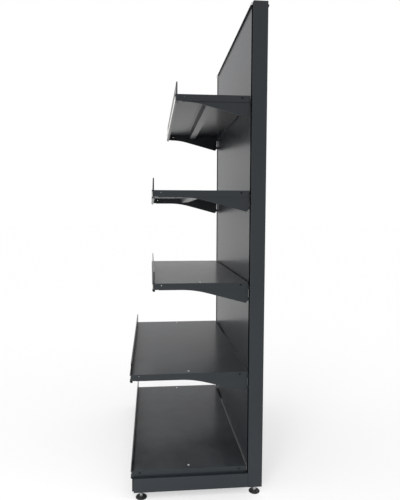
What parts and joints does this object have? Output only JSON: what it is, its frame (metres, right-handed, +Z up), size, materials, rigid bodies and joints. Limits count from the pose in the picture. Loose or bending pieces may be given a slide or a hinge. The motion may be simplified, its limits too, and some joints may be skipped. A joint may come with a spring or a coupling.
{
  "type": "retail shelving unit",
  "caption": "Single-sided retail shelving bay: slotted uprights with back panels, hooked bracket shelves with front stops and ticket strips, base shelf, kick plate and levelling feet.",
  "frame": {"origin": "on the floor, in the middle of the whole unit's width and depth", "axes": "+Z up, +X along the bay to the right as seen from the front, +Y to the back; the shelves open towards -Y"},
  "size_m": [1.05, 0.5948, 2.1423],
  "materials": {
    "anthracite_paint": "satin anthracite grey powder coat",
    "anthracite_plastic": "matt anthracite grey moulding",
    "black_plastic": "matt black moulding",
    "ticket_white": "smooth cream white extrusion",
    "bright_zinc": "bright zinc plating"
  },
  "bodies": {
    "frame": {"back_panel_1": "anthracite_paint", "back_panel_2": "anthracite_paint", "back_panel_3": "anthracite_paint", "back_panel_4": "anthracite_paint", "back_panel_5": "anthracite_paint", "base_leg_left": "anthracite_paint", "base_leg_right": "anthracite_paint", "bottom_rail": "anthracite_paint", "foot_plate_left": "bright_zinc", "foot_plate_right": "bright_zinc", "leg_nut_left": "bright_zinc", "leg_nut_right": "bright_zinc", "leg_plug_left": "black_plastic", "leg_plug_right": "black_plastic", "plinth": "anthracite_paint", "shelf_1_bracket_left": "anthracite_paint", "shelf_1_bracket_right": "anthracite_paint", "shelf_2_bracket_left": "anthracite_paint", "shelf_2_bracket_right": "anthracite_paint", "shelf_3_bracket_left": "anthracite_paint", "shelf_3_bracket_right": "anthracite_paint", "shelf_4_bracket_left": "anthracite_paint", "shelf_4_bracket_right": "anthracite_paint", "tie_bolt_left": "anthracite_paint", "tie_bolt_right": "anthracite_paint", "top_cap_left": "anthracite_plastic", "top_cap_right": "anthracite_plastic", "top_rail": "anthracite_paint", "upright_left": "anthracite_paint", "upright_right": "anthracite_paint"},
    "base_shelf": {"base_deck": "anthracite_paint", "base_stiffener": "anthracite_paint", "base_front_stop": "anthracite_paint", "base_ticket_strip": "ticket_white"},
    "shelf_1": {"shelf_1_deck": "anthracite_paint", "shelf_1_stiffener": "anthracite_paint", "shelf_1_front_stop": "anthracite_paint", "shelf_1_ticket_strip": "ticket_white"},
    "shelf_2": {"shelf_2_deck": "anthracite_paint", "shelf_2_stiffener": "anthracite_paint", "shelf_2_front_stop": "anthracite_paint", "shelf_2_ticket_strip": "ticket_white"},
    "shelf_3": {"shelf_3_deck": "anthracite_paint", "shelf_3_stiffener": "anthracite_paint", "shelf_3_front_stop": "anthracite_paint", "shelf_3_ticket_strip": "ticket_white"},
    "shelf_4": {"shelf_4_deck": "anthracite_paint", "shelf_4_stiffener": "anthracite_paint", "shelf_4_front_stop": "anthracite_paint", "shelf_4_ticket_strip": "ticket_white"},
    "foot_front_left": {"foot_pad_front_left": "black_plastic", "foot_stud_front_left": "bright_zinc"},
    "foot_front_right": {"foot_pad_front_right": "black_plastic", "foot_stud_front_right": "bright_zinc"},
    "foot_rear_left": {"foot_pad_rear_left": "black_plastic", "foot_stud_rear_left": "bright_zinc"},
    "foot_rear_right": {"foot_pad_rear_right": "black_plastic", "foot_stud_rear_right": "bright_zinc"}
  },
  "joints": [
    {"name": "base_shelf_lift", "type": "slide", "parent": "frame", "child": "base_shelf", "axis": [0, 0, 1], "range_m": [0, 0.12]},
    {"name": "shelf_1_lift", "type": "slide", "parent": "frame", "child": "shelf_1", "axis": [0, 0, 1], "range_m": [0, 0.12]},
    {"name": "shelf_2_lift", "type": "slide", "parent": "frame", "child": "shelf_2", "axis": [0, 0, 1], "range_m": [0, 0.12]},
    {"name": "shelf_3_lift", "type": "slide", "parent": "frame", "child": "shelf_3", "axis": [0, 0, 1], "range_m": [0, 0.12]},
    {"name": "shelf_4_lift", "type": "slide", "parent": "frame", "child": "shelf_4", "axis": [0, 0, 1], "range_m": [0, 0.12]},
    {"name": "foot_front_left_level", "type": "slide", "parent": "frame", "child": "foot_front_left", "axis": [0, 0, 1], "range_m": [-0.02, 0.012]},
    {"name": "foot_front_right_level", "type": "slide", "parent": "frame", "child": "foot_front_right", "axis": [0, 0, 1], "range_m": [-0.02, 0.012]},
    {"name": "foot_rear_left_level", "type": "slide", "parent": "frame", "child": "foot_rear_left", "axis": [0, 0, 1], "range_m": [-0.02, 0.012]},
    {"name": "foot_rear_right_level", "type": "slide", "parent": "frame", "child": "foot_rear_right", "axis": [0, 0, 1], "range_m": [-0.02, 0.012]}
  ]
}
